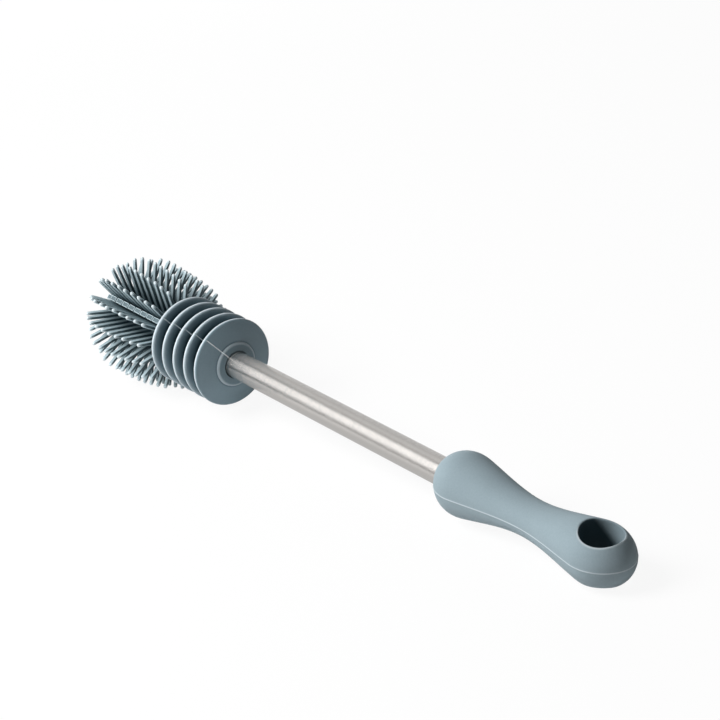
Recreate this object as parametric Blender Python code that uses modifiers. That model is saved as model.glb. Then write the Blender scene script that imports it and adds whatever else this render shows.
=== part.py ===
"""A silicone bottle brush lying on a table, resting on its bristles and on the end of its grip.

Along the brush axis, +X runs from the nose of the head to the tip of the grip, and x = 0 is the
plane of the rearmost disc's rim. Angles round the axis start at -Y and rise towards +Z.
"""

import math

import bmesh
import bpy
from mathutils import Matrix, Vector

MM = 0.001

# Clearance between pieces that touch on the real brush
FIT_GAP = 0.3 * MM

# Shaft tube
TUBE_RADIUS = 6.0 * MM
TUBE_WALL = 0.8 * MM
TUBE_IN_HEAD = 16.0 * MM
TUBE_IN_SOCKET = 21.0 * MM

# Disc sleeve: five wiping discs on a hub
DISC_COUNT = 5
DISC_PITCH = 8.35 * MM
DISC_RADIUS = 20.1 * MM
DISC_RIM_THICKNESS = 2.2 * MM
DISC_ROOT_THICKNESS = 4.2 * MM
HUB_RADIUS = 9.2 * MM
FACE_DOME = 2.0 * MM
FACE_MIDDLE_SHARE = 0.65
BOSS_RADIUS = 10.2 * MM
BOSS_HEIGHT = 1.1 * MM
BOSS_EDGE = 0.6 * MM

# Bristle sleeve: fingers in straight rows, and a row of short flat-ended pegs on each mould seam
BRISTLE_ROWS = 16
BRISTLE_RINGS = 10
RINGS_PER_SLICE = 2
RING_PITCH = 5.0 * MM
FIRST_RING_FROM_DISC = 4.3 * MM
SLEEVE_RADIUS = 8.5 * MM
SLEEVE_REAR_MARGIN = 2.4 * MM
FINGER_ROOT_WIDTH = 2.2 * MM
FINGER_TIP_WIDTH = 1.65 * MM
FINGER_TIP_CHAMFER = 0.4 * MM
STRAND_EMBED = 1.2 * MM
TIP_RADIUS = 28.6 * MM
WIDEST_RING = 6
DISC_END_DROP = 3.4 * MM
NOSE_END_DROP = 6.8 * MM
NOSE_LEAN = 3.2 * MM
PEG_WIDTH = 2.2 * MM
PEG_LENGTH = 4.3 * MM
PEG_RADIUS = 19.0 * MM
PEG_ANGLE = math.radians(45)
NOSE_LENGTH = 8.5 * MM
NOSE_BORE_MARGIN = 2.0 * MM

# Head core: a barbed rod that carries both sleeves and plugs into the tube
CORE_RIB_WIDTH = 2.0 * MM
CORE_RIB_SLOPE = 1.5 * MM
CORE_PLUG_LENGTH = 20.0 * MM
CORE_PLUG_CHAMFER = 1.0 * MM

# Grip: a round-ended body, thick at both ends and slim at its waist. The half widths lie in the
# mould seam's plane and the half heights across it, before the two ends are rounded off.
GRIP_START = 146.2 * MM
GRIP_LENGTH = 105.1 * MM
FRONT_HALF_WIDTH = 14.7 * MM
FRONT_HALF_HEIGHT = 15.2 * MM
WAIST_HALF_WIDTH = 8.4 * MM
WAIST_HALF_HEIGHT = 7.4 * MM
END_HALF_WIDTH = 14.5 * MM
END_HALF_HEIGHT = 14.0 * MM
WAIST_FROM_START = 52.5 * MM
END_FROM_TIP = 3.0 * MM
FRONT_ROUNDING = 17.5 * MM
TIP_ROUNDING = 19.1 * MM
ROUNDING_POWER = 1.92
HOLE_RADIUS = 8.5 * MM
HOLE_FROM_TIP = 13.8 * MM

# Handle core: a socket for the tube, then a bar down the middle of the grip
SOCKET_FROM_START = 7.5 * MM
SOCKET_RADIUS = 8.6 * MM
BAR_WAIST_RADIUS = 4.7 * MM
BAR_END_RADIUS = 8.0 * MM
BAR_END_FROM_HOLE = 3.0 * MM
BAR_END_CHAMFER = 2.5 * MM

# One overrun serves every cut
OVERRUN = 5.0 * MM
MERGE = 0.01 * MM

# Facets round each kind of piece, and steps along its curves
DISC_FACETS = 44
TUBE_FACETS = 32
SLEEVE_FACETS = 32
CORE_FACETS = 20
GRIP_FACETS = 32
HOLE_FACETS = 32
NOSE_STEPS = 7
CORE_STEPS = 12
GRIP_END_STEPS = 9
GRIP_MIDDLE_STEPS = 10
SHARP_FROM = math.radians(35)

# The search for the angle that the brush lies at
STEEPEST_TILT = math.radians(22.5)
HALVINGS = 50

# Places along the axis that several pieces share
FRONT_DISC_X = -DISC_PITCH * (DISC_COUNT - 1)
FIRST_RING_X = FRONT_DISC_X - FIRST_RING_FROM_DISC
LAST_RING_X = FIRST_RING_X - RING_PITCH * (BRISTLE_RINGS - 1)
SLEEVE_REAR_X = FIRST_RING_X + SLEEVE_REAR_MARGIN
DISC_SLEEVE_FRONT_X = SLEEVE_REAR_X + FIT_GAP
NOSE_START_X = LAST_RING_X + RING_PITCH / 2
NOSE_X = NOSE_START_X - NOSE_LENGTH
BORE_RADIUS = TUBE_RADIUS + FIT_GAP
BORE_END_X = NOSE_START_X + NOSE_BORE_MARGIN
SOCKET_X = GRIP_START + SOCKET_FROM_START
TUBE_FRONT_X = -TUBE_IN_HEAD
TUBE_REAR_X = SOCKET_X + TUBE_IN_SOCKET
WAIST_X = GRIP_START + WAIST_FROM_START
GRIP_TIP_X = GRIP_START + GRIP_LENGTH
END_X = GRIP_TIP_X - END_FROM_TIP
HOLE_X = GRIP_TIP_X - HOLE_FROM_TIP
BAR_END_X = HOLE_X - HOLE_RADIUS - BAR_END_FROM_HOLE


def clear_scene():
    for found in list(bpy.data.objects):
        bpy.data.objects.remove(found, do_unlink=True)


def new_collection(name):
    collection = bpy.data.collections.new(name)
    bpy.context.scene.collection.children.link(collection)
    return collection


def new_material(name, colour, roughness, metallic=0.0):
    material = bpy.data.materials.new(name)
    material.use_nodes = True
    shader = material.node_tree.nodes["Principled BSDF"]
    shader.inputs["Base Color"].default_value = (*colour, 1.0)
    shader.inputs["Roughness"].default_value = roughness
    shader.inputs["Metallic"].default_value = metallic
    return material


def add_object(name, mesh, collection, parent, material=None):
    made = bpy.data.objects.new(name, mesh)
    collection.objects.link(made)
    made.parent = parent
    if material:
        mesh.materials.append(material)
    return made


def make_helper(helper):
    helper.hide_render = True
    helper.display_type = "WIRE"


def add_turned(name, profile, facets, collection, parent, material=None, closed=False):
    """Turns (x, radius) points about the brush axis. They run from the grip end to the nose end
    along the outer side, and back along the bore where the profile is closed."""
    mesh = bpy.data.meshes.new(name)
    points = [(radius, 0.0, x) for x, radius in profile]
    edges = [(i, i + 1) for i in range(len(points) - 1)]
    if closed:
        edges.append((len(points) - 1, 0))
    mesh.from_pydata(points, edges, [])
    turned = add_object(name, mesh, collection, parent, material)
    turned.rotation_euler = (0.0, math.pi / 2, 0.0)
    screw = turned.modifiers.new("Turn", "SCREW")
    screw.steps = facets
    screw.render_steps = facets
    screw.use_merge_vertices = True
    screw.merge_threshold = MERGE
    return turned


def add_boolean(target, tool, operation):
    boolean = target.modifiers.new(tool.name, "BOOLEAN")
    boolean.operation = operation
    boolean.solver = "EXACT"
    boolean.object = tool


def mesh_from(bm, name):
    mesh = bpy.data.meshes.new(name)
    bmesh.ops.recalc_face_normals(bm, faces=bm.faces)
    bm.to_mesh(mesh)
    bm.free()
    return mesh


def outward(angle):
    """The direction at right angles to the axis at this angle round it."""
    return Vector((0.0, -math.cos(angle), math.sin(angle)))


# Shapes along the axis


def ease(share):
    share = min(max(share, 0.0), 1.0)
    return share * share * (3.0 - 2.0 * share)


def between(x, front, waist, end):
    """A size that eases from the grip's front through its waist to its end."""
    if x < WAIST_X:
        return front + (waist - front) * ease((x - GRIP_START) / (WAIST_X - GRIP_START))
    return waist + (end - waist) * ease((x - WAIST_X) / (END_X - WAIST_X))


def rounding(depth, length):
    """The share of the full size that is left this deep inside a rounded end."""
    if depth >= length:
        return 1.0
    fall = 1.0 - depth / length
    return (1.0 - fall**ROUNDING_POWER) ** (1.0 / ROUNDING_POWER)


def grip_halves(x):
    """The grip's half width and half height at x."""
    ends = rounding(x - GRIP_START, FRONT_ROUNDING) * rounding(GRIP_TIP_X - x, TIP_ROUNDING)
    width = between(x, FRONT_HALF_WIDTH, WAIST_HALF_WIDTH, END_HALF_WIDTH)
    height = between(x, FRONT_HALF_HEIGHT, WAIST_HALF_HEIGHT, END_HALF_HEIGHT)
    return width * ends, height * ends


def grip_underside(x):
    """How far below the axis the grip reaches at x, beside the hanging hole where that cuts it."""
    half_width, half_height = grip_halves(x)
    cut = max(HOLE_RADIUS**2 - (x - HOLE_X) ** 2, 0.0) / half_width**2
    return half_height * math.sqrt(max(1.0 - cut, 0.0))


def tip_reach(ring):
    """How far out the tips of this ring stand, and how far forward they lean."""
    if ring <= WIDEST_RING:
        share = (WIDEST_RING - ring) / WIDEST_RING
        return TIP_RADIUS - DISC_END_DROP * share**2, 0.0
    share = (ring - WIDEST_RING) / (BRISTLE_RINGS - 1 - WIDEST_RING)
    return TIP_RADIUS - NOSE_END_DROP * share**2, NOSE_LEAN * share


def nose_radius(x):
    """The sleeve's outer radius at x, which falls to nothing over the nose."""
    if x >= NOSE_START_X:
        return SLEEVE_RADIUS
    depth = min((NOSE_START_X - x) / NOSE_LENGTH, 1.0)
    return SLEEVE_RADIUS * math.sqrt(1.0 - depth**2)


# Pieces of the head


def disc_sleeve_profile():
    """From the tube, over the boss, the domed rear face and the discs, to the bore's front end."""
    rim = DISC_RIM_THICKNESS / 2
    root = DISC_ROOT_THICKNESS / 2
    face_x = rim + FACE_DOME
    top_x = face_x + BOSS_HEIGHT
    points = [
        (top_x, BORE_RADIUS),
        (top_x, BOSS_RADIUS - BOSS_EDGE),
        (top_x - BOSS_EDGE, BOSS_RADIUS),
        (face_x, BOSS_RADIUS),
        (rim + FACE_DOME * FACE_MIDDLE_SHARE, (BOSS_RADIUS + DISC_RADIUS) / 2),
    ]
    for disc in range(DISC_COUNT):
        x = -DISC_PITCH * disc
        if disc:
            points.append((x + root, HUB_RADIUS))
        points += [
            (x + rim, DISC_RADIUS - rim),
            (x + rim * math.sin(math.pi / 4), DISC_RADIUS - rim * (1 - math.cos(math.pi / 4))),
            (x, DISC_RADIUS),
            (x - rim * math.sin(math.pi / 4), DISC_RADIUS - rim * (1 - math.cos(math.pi / 4))),
            (x - rim, DISC_RADIUS - rim),
        ]
        if disc < DISC_COUNT - 1:
            points.append((x - root, HUB_RADIUS))
    return points + [(DISC_SLEEVE_FRONT_X, HUB_RADIUS), (DISC_SLEEVE_FRONT_X, BORE_RADIUS)]


def slice_limits(index, last):
    """Where a slice of the bristle sleeve starts and ends."""
    step = RING_PITCH * RINGS_PER_SLICE
    middle_gap = RING_PITCH / 2
    rear = SLEEVE_REAR_X if index == 0 else FIRST_RING_X + middle_gap - step * index - FIT_GAP / 2
    front = NOSE_X if index == last else FIRST_RING_X + middle_gap - step * (index + 1) + FIT_GAP / 2
    return rear, front


def slice_profile(index, last):
    rear, front = slice_limits(index, last)
    if index < last:
        return [
            (rear, SLEEVE_RADIUS),
            (front, SLEEVE_RADIUS),
            (front, BORE_RADIUS),
            (rear, BORE_RADIUS),
        ], True
    turns = [math.pi / 2 * step / NOSE_STEPS for step in range(NOSE_STEPS)]
    dome = [
        (NOSE_START_X - NOSE_LENGTH * math.sin(turn), SLEEVE_RADIUS * math.cos(turn))
        for turn in turns
    ]
    profile = [(BORE_END_X, 0.0), (BORE_END_X, BORE_RADIUS), (rear, BORE_RADIUS), (rear, SLEEVE_RADIUS)]
    return profile + dome + [(NOSE_X, 0.0)], False


def strand_place(root, tip):
    """Stands a shape's own Z from root to tip, with its X along the brush."""
    along = (tip - root).normalized()
    side = (Vector((1.0, 0.0, 0.0)) - along * along.x).normalized()
    turn = Matrix((side, along.cross(side), along)).transposed().to_4x4()
    return Matrix.Translation((root + tip) / 2) @ turn


def add_finger(bm, root, tip):
    """A four-sided finger from root to tip, with its tip's edges taken off."""
    half_diagonal = math.sqrt(0.5)
    made = bmesh.ops.create_cone(
        bm,
        cap_ends=True,
        segments=4,
        radius1=FINGER_ROOT_WIDTH * half_diagonal,
        radius2=FINGER_TIP_WIDTH * half_diagonal,
        depth=(tip - root).length,
        matrix=strand_place(root, tip) @ Matrix.Rotation(math.pi / 4, 4, "Z"),
    )
    corners = {v for v in made["verts"] if (v.co - tip).length < (v.co - root).length}
    rim = {e for v in corners for e in v.link_edges if e.other_vert(v) in corners}
    bmesh.ops.bevel(
        bm,
        geom=list(rim),
        offset=FINGER_TIP_CHAMFER,
        segments=1,
        profile=0.5,
        affect="EDGES",
        material=-1,
    )


def add_peg(bm, root, tip):
    """A block from root to tip, longer along the brush than across it."""
    size = Matrix.Diagonal((PEG_LENGTH, PEG_WIDTH, (tip - root).length, 1.0))
    bmesh.ops.create_cube(bm, size=1.0, matrix=strand_place(root, tip) @ size)


def strand_ends(ring, angle, shorter=0.0):
    """The root inside the sleeve's wall and the tip of a finger at this angle."""
    x = FIRST_RING_X - RING_PITCH * ring
    reach, lean = tip_reach(ring)
    way = outward(angle)
    root = Vector((x, 0.0, 0.0)) + way * (nose_radius(x) - STRAND_EMBED)
    tip = Vector((x - lean, 0.0, 0.0)) + way * (reach - shorter)
    return root, tip


def fingers_mesh(rings, name):
    bm = bmesh.new()
    row_step = 2 * math.pi / BRISTLE_ROWS
    for ring in rings:
        for row in range(BRISTLE_ROWS):
            root, tip = strand_ends(ring, PEG_ANGLE + row_step * (row + 0.5))
            add_finger(bm, root, tip)
    return mesh_from(bm, name)


def pegs_mesh(rings, name):
    """The pegs end level with each other, apart from those on the nose, which shorten with it."""
    bm = bmesh.new()
    for ring in rings:
        reach = tip_reach(ring)[0]
        shorter = TIP_RADIUS - PEG_RADIUS if ring > WIDEST_RING else reach - PEG_RADIUS
        for side in range(2):
            root, tip = strand_ends(ring, PEG_ANGLE + math.pi * side, shorter)
            add_peg(bm, root, tip)
    return mesh_from(bm, name)


def add_bristle_slices(parts, tools, axis, material):
    """Each slice is backing, fingers and pegs made one. The pegs stand so close between the two
    rows beside them that their roots run into those of the fingers, so they are added second."""
    last = BRISTLE_RINGS // RINGS_PER_SLICE - 1
    for index in range(last + 1):
        profile, closed = slice_profile(index, last)
        name = f"bristle_slice_{index + 1}"
        backing = add_turned(name, profile, SLEEVE_FACETS, parts, axis, material, closed)
        rings = range(index * RINGS_PER_SLICE, (index + 1) * RINGS_PER_SLICE)
        for kind, make_mesh in (("fingers", fingers_mesh), ("pegs", pegs_mesh)):
            label = f"{kind}_{index + 1}"
            added = add_object(label, make_mesh(rings, label), tools, axis)
            make_helper(added)
            add_boolean(backing, added, "UNION")


def head_core_profile():
    """A rod with one rib under each slice of the sleeves and a plug that fits the tube."""
    rib_radius = BORE_RADIUS - FIT_GAP
    rod_radius = TUBE_RADIUS - TUBE_WALL - FIT_GAP
    plug_x = TUBE_FRONT_X + CORE_PLUG_LENGTH
    flange_x = TUBE_FRONT_X - FIT_GAP
    front_x = BORE_END_X + FIT_GAP
    rib_step = RING_PITCH * RINGS_PER_SLICE
    rib_count = int((flange_x - front_x) / rib_step)
    points = [
        (plug_x, 0.0),
        (plug_x, rod_radius - CORE_PLUG_CHAMFER),
        (plug_x - CORE_PLUG_CHAMFER, rod_radius),
    ]
    for rib in range(rib_count):
        x = flange_x - rib_step * rib
        points += [
            (x, rod_radius),
            (x, rib_radius),
            (x - CORE_RIB_WIDTH, rib_radius),
            (x - CORE_RIB_WIDTH - CORE_RIB_SLOPE, rod_radius),
        ]
    return points + [
        (front_x + CORE_PLUG_CHAMFER, rod_radius),
        (front_x, rod_radius - CORE_PLUG_CHAMFER),
        (front_x, 0.0),
    ]


def tube_profile():
    bore = TUBE_RADIUS - TUBE_WALL
    return [
        (TUBE_REAR_X, TUBE_RADIUS),
        (TUBE_FRONT_X, TUBE_RADIUS),
        (TUBE_FRONT_X, bore),
        (TUBE_REAR_X, bore),
    ]


# Pieces of the handle


def core_outline(grow):
    """The handle core's outer side from its rear end forwards, grown by a clearance."""
    chamfer_x = BAR_END_X - BAR_END_CHAMFER
    points = [(BAR_END_X + grow, BAR_END_RADIUS - BAR_END_CHAMFER + grow)]
    for step in range(CORE_STEPS + 1):
        x = chamfer_x - (chamfer_x - SOCKET_X) * step / CORE_STEPS
        radius = between(x, SOCKET_RADIUS, BAR_WAIST_RADIUS, BAR_END_RADIUS)
        if x < TUBE_REAR_X + BAR_WAIST_RADIUS:
            radius = max(radius, SOCKET_RADIUS)
        points.append((x - grow if step == CORE_STEPS else x, radius + grow))
    return points


def handle_core_profile():
    """A bar that is closed at its rear and open at the front, where the tube goes in."""
    bottom = TUBE_REAR_X + FIT_GAP
    outer = core_outline(0.0)
    inner = [(SOCKET_X, BORE_RADIUS), (bottom, BORE_RADIUS), (bottom, 0.0)]
    return [(BAR_END_X, 0.0)] + outer + inner


def grip_cavity_profile():
    """The room for the handle core, and the mouth that the tube comes in by."""
    outer = core_outline(FIT_GAP)
    mouth_x = GRIP_START - OVERRUN
    rear = outer[0][0]
    return [(rear, 0.0)] + outer + [
        (SOCKET_X - FIT_GAP, BORE_RADIUS),
        (mouth_x, BORE_RADIUS),
        (mouth_x, 0.0),
    ]


def grip_stations():
    """Places along the grip, close together where its ends are rounded."""
    turns = [math.pi / 2 * (step + 0.5) / GRIP_END_STEPS for step in range(GRIP_END_STEPS)]
    front = [GRIP_START + FRONT_ROUNDING * (1 - math.cos(turn)) for turn in turns]
    tip = [GRIP_TIP_X - TIP_ROUNDING * (1 - math.cos(turn)) for turn in reversed(turns)]
    first = GRIP_START + FRONT_ROUNDING
    last = GRIP_TIP_X - TIP_ROUNDING
    middle = [
        first + (last - first) * step / GRIP_MIDDLE_STEPS for step in range(GRIP_MIDDLE_STEPS + 1)
    ]
    return front + middle + tip


def grip_mesh():
    """An oval section lofted along the grip, closed by a point at each end."""
    bm = bmesh.new()
    rings = []
    for x in grip_stations():
        half_width, half_height = grip_halves(x)
        ring = []
        for facet in range(GRIP_FACETS):
            turn = 2 * math.pi * facet / GRIP_FACETS
            place = (x, half_width * math.cos(turn), half_height * math.sin(turn))
            ring.append(bm.verts.new(place))
        rings.append(ring)
    poles = (bm.verts.new((GRIP_START, 0.0, 0.0)), bm.verts.new((GRIP_TIP_X, 0.0, 0.0)))
    for facet in range(GRIP_FACETS):
        after = (facet + 1) % GRIP_FACETS
        for front, rear in zip(rings, rings[1:]):
            bm.faces.new((front[facet], front[after], rear[after], rear[facet]))
        bm.faces.new((poles[0], rings[0][after], rings[0][facet]))
        bm.faces.new((poles[1], rings[-1][facet], rings[-1][after]))
    return mesh_from(bm, "grip")


def add_grip(parts, tools, axis, material):
    grip = add_object("grip", grip_mesh(), parts, axis, material)
    cavity = add_turned("grip_cavity", grip_cavity_profile(), CORE_FACETS, tools, axis)
    bm = bmesh.new()
    bmesh.ops.create_cone(
        bm,
        cap_ends=True,
        segments=HOLE_FACETS,
        radius1=HOLE_RADIUS,
        radius2=HOLE_RADIUS,
        depth=2 * (END_HALF_HEIGHT + OVERRUN),
    )
    hole = add_object("hanging_hole_cutter", mesh_from(bm, "hanging_hole"), tools, axis)
    hole.location = (HOLE_X, 0.0, 0.0)
    for cutter in (cavity, hole):
        make_helper(cutter)
        add_boolean(grip, cutter, "DIFFERENCE")


# The brush lies on two rows of bristles and on the underside of its grip


def lowest_points():
    """(x, depth below the axis) of the tips of the lowest two rows and of the grip's underside."""
    row_half_step = math.pi / BRISTLE_ROWS
    tips = []
    for ring in range(BRISTLE_RINGS):
        reach, lean = tip_reach(ring)
        x = FIRST_RING_X - RING_PITCH * ring - lean
        tips.append((x, reach * math.cos(row_half_step)))
    grip = [(x, grip_underside(x)) for x in grip_stations() + [HOLE_X - HOLE_RADIUS]]
    return tips, grip


def resting_tilt():
    """The angle, nose up, that brings the lowest tip and the grip's underside to one level."""
    tips, grip = lowest_points()

    def level(points, tilt):
        return max(x * math.sin(tilt) + depth * math.cos(tilt) for x, depth in points)

    low, high = 0.0, STEEPEST_TILT
    for _ in range(HALVINGS):
        tilt = (low + high) / 2
        if level(grip, tilt) < level(tips, tilt):
            low = tilt
        else:
            high = tilt
    return tilt


def stand_on_table(axis, pieces):
    """Moves the whole brush so that its box is centred over the origin and stands on z = 0."""
    bpy.context.view_layer.update()
    places = [piece.matrix_world @ vertex.co for piece in pieces for vertex in piece.data.vertices]
    spans = [(min(values), max(values)) for values in zip(*places)]
    middle_x, middle_y = ((low + high) / 2 for low, high in spans[:2])
    axis.location -= Vector((middle_x, middle_y, spans[2][0]))


def finish_shading(piece):
    """Makes the finished shape a plain mesh, smooth apart from its real corners."""
    graph = bpy.context.evaluated_depsgraph_get()
    mesh = bpy.data.meshes.new_from_object(piece.evaluated_get(graph))
    piece.modifiers.clear()
    piece.data = mesh
    mesh.shade_smooth()
    mesh.set_sharp_from_angle(angle=SHARP_FROM)


def main():
    clear_scene()
    parts = new_collection("silicone_cleaning_brush")
    tools = new_collection("cutters")
    silicone = new_material("slate_silicone", (0.295, 0.375, 0.410), 0.60)
    deep_silicone = new_material("slate_silicone_head", (0.270, 0.345, 0.378), 0.45)
    steel = new_material("polished_steel", (0.80, 0.785, 0.765), 0.20, 1.0)
    plastic = new_material("grey_core_plastic", (0.25, 0.27, 0.28), 0.45)

    axis = bpy.data.objects.new("brush_axis", None)
    parts.objects.link(axis)
    axis.rotation_euler = (0.0, resting_tilt(), 0.0)

    add_turned("shaft_tube", tube_profile(), TUBE_FACETS, parts, axis, steel, closed=True)
    add_turned("disc_sleeve", disc_sleeve_profile(), DISC_FACETS, parts, axis, deep_silicone, closed=True)
    add_bristle_slices(parts, tools, axis, deep_silicone)
    add_turned("head_core", head_core_profile(), CORE_FACETS, parts, axis, plastic)
    add_turned("handle_core", handle_core_profile(), CORE_FACETS, parts, axis, plastic)
    add_grip(parts, tools, axis, silicone)

    pieces = [piece for piece in parts.objects if piece.type == "MESH"]
    for piece in pieces:
        finish_shading(piece)
    stand_on_table(axis, pieces)


main()
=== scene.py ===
# %% [markdown]
# # A silicone bottle brush
#
# The brush has two silicone mouldings on a hidden core, a steel tube, and a soft grip with a hole
# to hang it by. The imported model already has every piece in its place, at its real size. This
# lesson gives the pieces their fine surfaces, finishes, light and camera.

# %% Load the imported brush
import math
import random

import bmesh
import bpy
from mathutils import Matrix, Vector
from mathutils.kdtree import KDTree


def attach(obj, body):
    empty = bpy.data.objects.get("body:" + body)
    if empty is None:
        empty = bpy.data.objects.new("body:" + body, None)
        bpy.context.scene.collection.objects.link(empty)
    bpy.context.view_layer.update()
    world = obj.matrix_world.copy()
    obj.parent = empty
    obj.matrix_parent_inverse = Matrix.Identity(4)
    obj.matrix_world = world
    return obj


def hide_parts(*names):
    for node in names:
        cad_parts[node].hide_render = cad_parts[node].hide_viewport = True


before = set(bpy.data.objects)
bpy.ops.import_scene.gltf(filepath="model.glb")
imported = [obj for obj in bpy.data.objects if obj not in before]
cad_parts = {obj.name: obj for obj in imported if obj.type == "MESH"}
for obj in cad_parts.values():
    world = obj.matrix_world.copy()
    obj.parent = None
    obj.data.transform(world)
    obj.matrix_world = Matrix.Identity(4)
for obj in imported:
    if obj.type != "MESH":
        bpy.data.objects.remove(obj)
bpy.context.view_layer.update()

MM = 0.001
MERGE = 0.002 * MM
print("packed nodes:", ", ".join(sorted(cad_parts)))

# %% [markdown]
# ## The brush's own axis
#
# The brush lies tilted, on its bristles and the end of its grip. It is easier to model it along
# its own axis and to turn each finished piece into place. The axis could be typed in, but the
# middles of the tube's two ends already give it exactly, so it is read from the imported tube.

# %% Find the axis from the tube
TUBE_IN_HEAD = 16.0 * MM


def stand(place, *ways):
    """The matrix that puts a shape's own origin and X, Y and Z there."""
    return Matrix.Translation(place) @ Matrix(ways).transposed().to_4x4()


def middle(points):
    """The middle of the box round some points."""
    spans = [(min(values), max(values)) for values in zip(*points)]
    return Vector([(low + high) / 2 for low, high in spans])


tube_points = [vertex.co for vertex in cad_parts["shaft_tube"].data.vertices]
tube_middle = middle(tube_points)
tube_front = middle([point for point in tube_points if point.x < tube_middle.x])
tube_rear = middle([point for point in tube_points if point.x > tube_middle.x])
tube_length = (tube_rear - tube_front).length
along = (tube_rear - tube_front).normalized()
across = Vector((0.0, 1.0, 0.0))
start = tube_front + along * TUBE_IN_HEAD
BRUSH = stand(start, along, across, along.cross(across))
TUBE_FRONT_X = -TUBE_IN_HEAD
TUBE_REAR_X = TUBE_FRONT_X + tube_length
print(f"axis starts at {[round(value / MM, 2) for value in start]} mm, tube {tube_length / MM:.1f} mm")

# %% [markdown]
# ## Helpers for shapes
#
# Every piece is built as a bmesh along the brush's axis. These helpers turn a profile, pull an open edge
# along and close the work: they move the piece into place, attach it to the root body and hide the
# imported nodes it stands for.

# %% Turn, pull and finish shapes
CORNER_STEPS = 4
SHARP_FROM = math.radians(40)


def outward(angle):
    """The direction at right angles to the axis. Angles start at -Y and rise towards +Z."""
    return Vector((0.0, -math.cos(angle), math.sin(angle)))


def radius_of(place):
    return math.hypot(place.y, place.z)


def off_axis(x, way, reach):
    """The place this far out from the axis at x."""
    return Vector((x, 0.0, 0.0)) + way * reach


def ring_place(place, x, radius):
    """The same place round the axis, at another x and radius."""
    scale = radius / radius_of(place)
    return Vector((x, place.y * scale, place.z * scale))


def turn(bm, profile, steps, start_angle=0.0):
    """Spins (x, radius) points about the axis, with one column of points at the start angle."""
    way = outward(start_angle)
    points = [bm.verts.new(off_axis(x, way, radius)) for x, radius in profile]
    lines = [bm.edges.new(pair) for pair in zip(points, points[1:])]
    bmesh.ops.spin(
        bm, geom=points + lines, axis=(1.0, 0.0, 0.0), angle=2 * math.pi, steps=steps, use_merge=True
    )
    bmesh.ops.remove_doubles(bm, verts=bm.verts, dist=MERGE)


def pull(bm, edges, place):
    """Extrudes an open edge, moves its new points by a rule and gives back the new edge."""
    made = bmesh.ops.extrude_edge_only(bm, edges=edges)["geom"]
    points = {item for item in made if isinstance(item, bmesh.types.BMVert)}
    for point in points:
        point.co = place(point.co.copy())
    return [
        item for item in made
        if isinstance(item, bmesh.types.BMEdge) and points.issuperset(item.verts)
    ]


def cut(bm, place, normal):
    """Adds points where a plane meets the faces, and takes nothing away."""
    geometry = bm.verts[:] + bm.edges[:] + bm.faces[:]
    bmesh.ops.bisect_plane(bm, geom=geometry, dist=MERGE, plane_co=place, plane_no=normal)


def spread(first, last, steps):
    """Values in even steps, from the first up to the last."""
    return [first + (last - first) * step / steps for step in range(steps + 1)]


def round_corner(first, corner, last, steps=CORNER_STEPS):
    """Points on a curve that leaves first towards corner and arrives at last from it."""
    first, corner, last = Vector(first), Vector(corner), Vector(last)
    shares = spread(0.0, 1.0, steps)
    return [first.lerp(corner, share).lerp(corner.lerp(last, share), share) for share in shares]


def clean(bm):
    """Merges the doubles and turns the faces outwards."""
    bmesh.ops.remove_doubles(bm, verts=bm.verts, dist=MERGE)
    bmesh.ops.recalc_face_normals(bm, faces=bm.faces)


def new_mesh(bm, name):
    clean(bm)
    mesh = bpy.data.meshes.new(name)
    bm.to_mesh(mesh)
    bm.free()
    return mesh


def add_object(name, mesh):
    made = bpy.data.objects.new(name, mesh)
    bpy.context.scene.collection.objects.link(made)
    return made


def finish_piece(name, mesh, slot, *nodes):
    """Puts a shape in its place on the brush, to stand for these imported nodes."""
    mesh.transform(BRUSH)
    mesh.shade_smooth()
    mesh.set_sharp_from_angle(angle=SHARP_FROM)
    piece = add_object(name, mesh)
    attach(piece, "root")
    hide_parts(*nodes)
    corners = [corner for face in mesh.polygons for corner in face.vertices]
    print(f"{name}: {len(mesh.polygons)} faces, {len(corners) - 2 * len(mesh.polygons)} triangles")
    return piece


# %% [markdown]
# ## The shaft tube
#
# The shaft is a thin steel tube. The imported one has 32 flat sides, which a polished metal shows
# at once, so it is turned again with many. The wall and its small chamfers come from one profile.

# %% The shaft tube
TUBE_RADIUS = 6.0 * MM
TUBE_WALL = 0.8 * MM
TUBE_CHAMFER = 0.2 * MM
TUBE_SIDES = 128


def tube_profile():
    bore = TUBE_RADIUS - TUBE_WALL
    shoulder = TUBE_RADIUS - TUBE_CHAMFER
    front, rear = TUBE_FRONT_X, TUBE_REAR_X
    outside = [(rear, shoulder), (rear - TUBE_CHAMFER, TUBE_RADIUS)]
    outside += [(front + TUBE_CHAMFER, TUBE_RADIUS), (front, shoulder)]
    return outside + [(front, bore), (rear, bore), (rear, shoulder)]


bm = bmesh.new()
turn(bm, tube_profile(), TUBE_SIDES)
shaft = finish_piece("shaft", new_mesh(bm, "shaft"), "shaft_steel", "shaft_tube")

# %% [markdown]
# ## The disc sleeve
#
# Five soft discs wipe the wall of a bottle. They are one moulding, so one profile holds them all:
# rounded rims, flanks that thicken towards the hub, and a small fillet at each root. The rear
# face is slightly domed and has a low boss round the tube, with a narrow dark gap at the tube.
# The mould's parting line is a real ridge, 0.15 mm high, because light catches it.

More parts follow.
